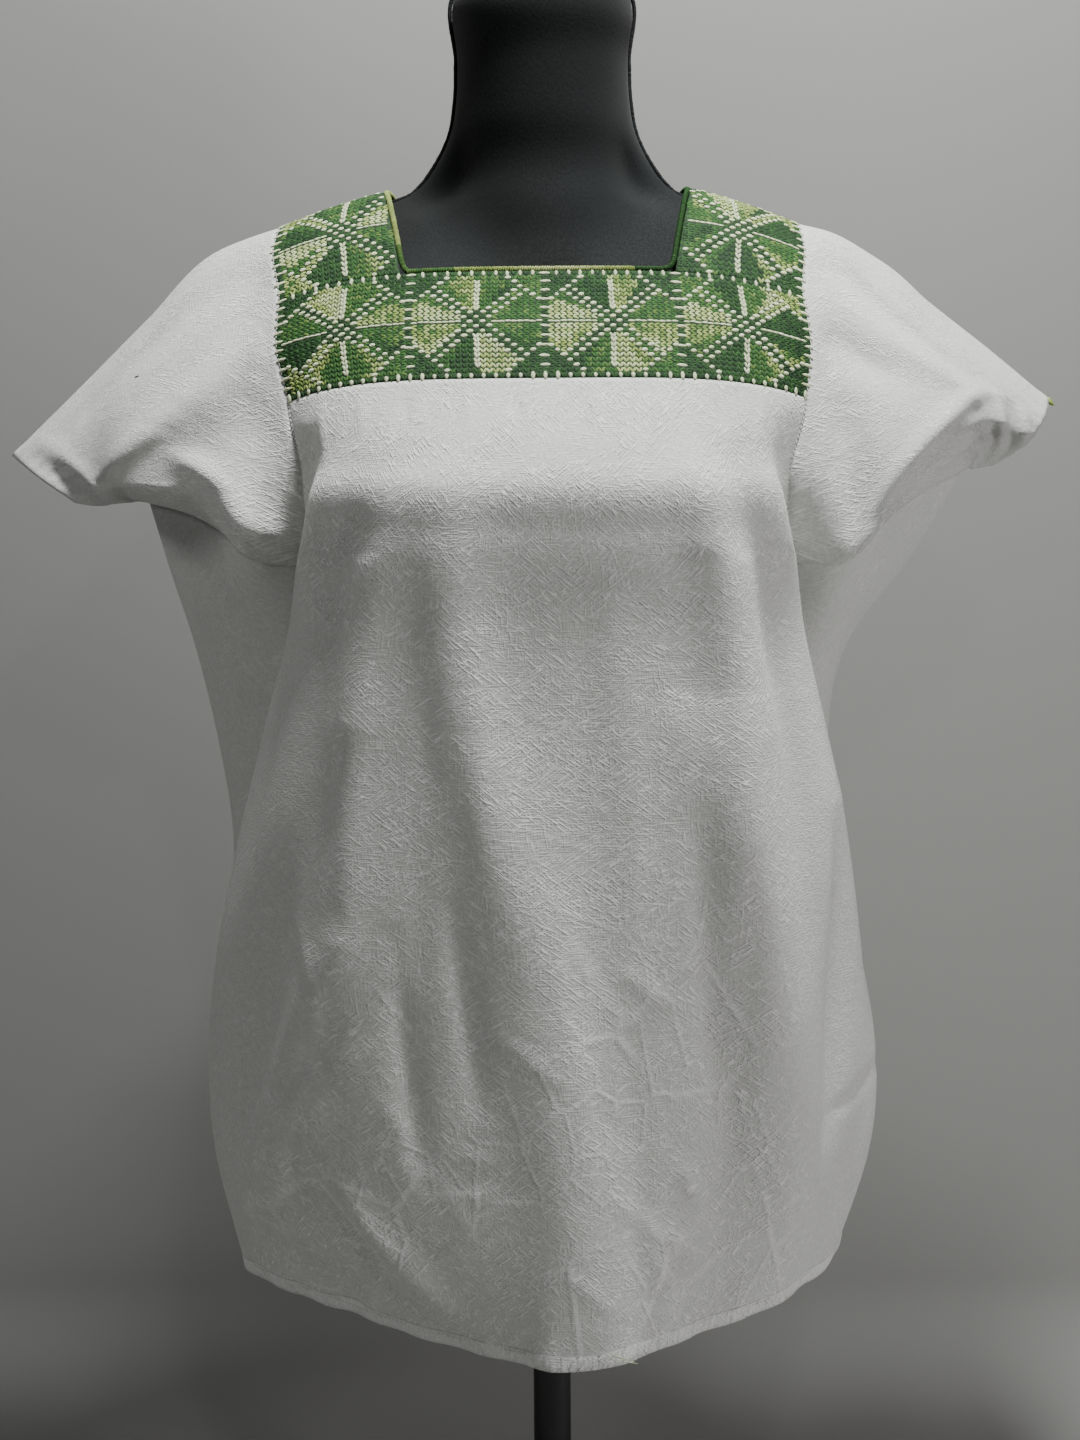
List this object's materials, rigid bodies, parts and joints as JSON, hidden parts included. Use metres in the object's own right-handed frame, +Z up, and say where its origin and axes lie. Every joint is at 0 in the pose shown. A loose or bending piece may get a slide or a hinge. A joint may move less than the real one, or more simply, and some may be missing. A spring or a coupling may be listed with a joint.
{
  "type": "huipil blouse on a limbless dress form with a round-footed stand",
  "caption": "White cotton huipil blouse with short folded sleeves and a green star-stitched square yoke, worn by a black limbless dress form on a short pole and round foot.",
  "frame": {"origin": "centre of the stand foot's underside, on the surface that it rests on", "axes": "+Z up the pole to the form's neck; the front of the blouse faces -Y; +X is the wearer's left"},
  "size_m": [0.6735, 0.3429, 1.093],
  "materials": {
    "cotton": "hand-woven white cotton, matt",
    "embroidery": "cross-stitch in variegated green and white cotton thread",
    "edging": "overcast thread, shaded from pale yellow-green to dark green",
    "jersey": "black stretch jersey, matt",
    "stand": "black, satin"
  },
  "bodies": {
    "root": {"yoke_front": "embroidery", "yoke_back": "embroidery", "yoke_strap_right": "embroidery", "yoke_strap_left": "embroidery", "neck_edging": "edging", "front_panel": "cotton", "back_panel": "cotton", "sleeve_right": "cotton", "sleeve_left": "cotton", "side_gore_right": "cotton", "side_gore_left": "cotton", "form_torso": "jersey", "neck_welt_right": "jersey", "neck_welt_left": "jersey", "form_plate": "stand", "pole_collar": "stand", "pole": "stand", "foot_boss": "stand", "foot": "stand"}
  },
  "joints": []
}
